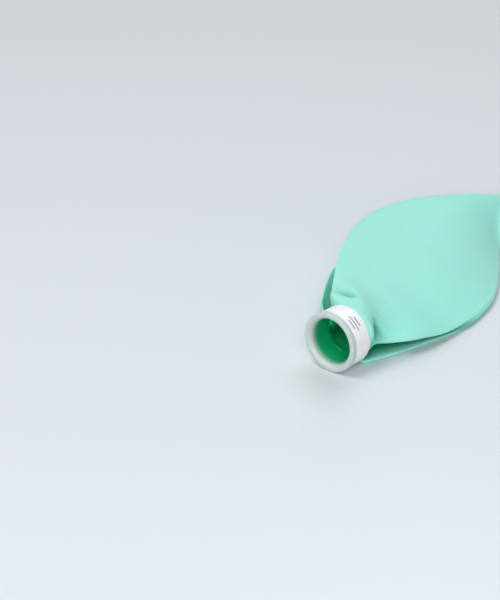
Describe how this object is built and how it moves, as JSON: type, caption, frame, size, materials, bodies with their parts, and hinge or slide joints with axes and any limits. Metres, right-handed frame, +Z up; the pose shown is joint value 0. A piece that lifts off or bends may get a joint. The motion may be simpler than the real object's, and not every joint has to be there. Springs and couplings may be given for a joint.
{
  "type": "breathing bag",
  "caption": "Small green rubber breathing bag lying on its side, with a pleated shoulder, a flat closed tail and a white-banded round neck holding a tapered socket.",
  "frame": {"origin": "centre of the socket's mouth, on the front face of the flange; the socket mount's point is 0.75 mm in, where the bore's plain wall starts behind the lead-in", "axes": "+X along the neck from the mouth into the bag, +Y to the left of it, +Z up; the bag lies on the plane z = -14.75 mm, which the flange touches too"},
  "size_m": [0.2298, 0.0949, 0.0296],
  "materials": {
    "rubber": "satin dipped rubber, pale sea green",
    "socket_plastic": "moulded plastic, frosted and slightly translucent",
    "band_plastic": "bright white, smooth"
  },
  "bodies": {
    "root": {"bag": "rubber", "bushing": "socket_plastic", "band": "band_plastic"}
  },
  "joints": []
}
